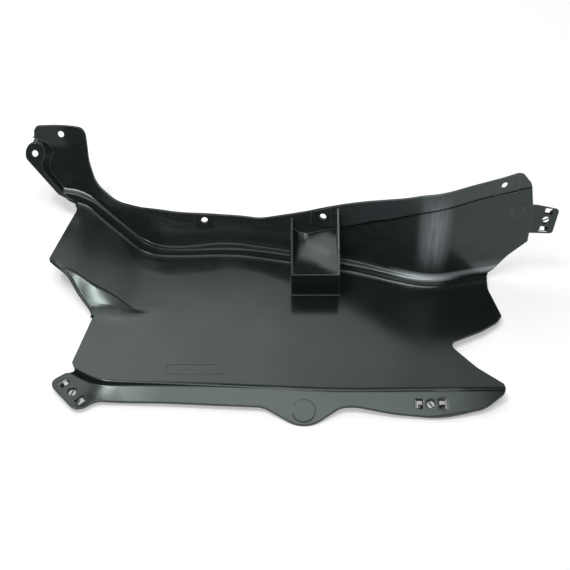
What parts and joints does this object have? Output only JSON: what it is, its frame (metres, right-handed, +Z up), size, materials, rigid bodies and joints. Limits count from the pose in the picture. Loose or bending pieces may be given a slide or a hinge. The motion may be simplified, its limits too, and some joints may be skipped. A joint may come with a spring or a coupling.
{
  "type": "engine splash shield",
  "caption": "Moulded lower engine splash shield for one side, with a rear wall, a drooping front strip and spring clip nuts.",
  "frame": {"origin": "under the middle of the panel, on the ground it rests on", "axes": "+X along the length towards the end with the notch, +Y towards the rear wall, +Z up"},
  "size_m": [0.7312, 0.4452, 0.1548],
  "materials": {
    "panel": "satin black moulding",
    "clip": "dark phosphated spring steel"
  },
  "bodies": {
    "root": {"splash_shield": "panel", "clip_nut_left": "clip", "clip_nut_front": "clip", "clip_nut_right": "clip"}
  },
  "joints": []
}
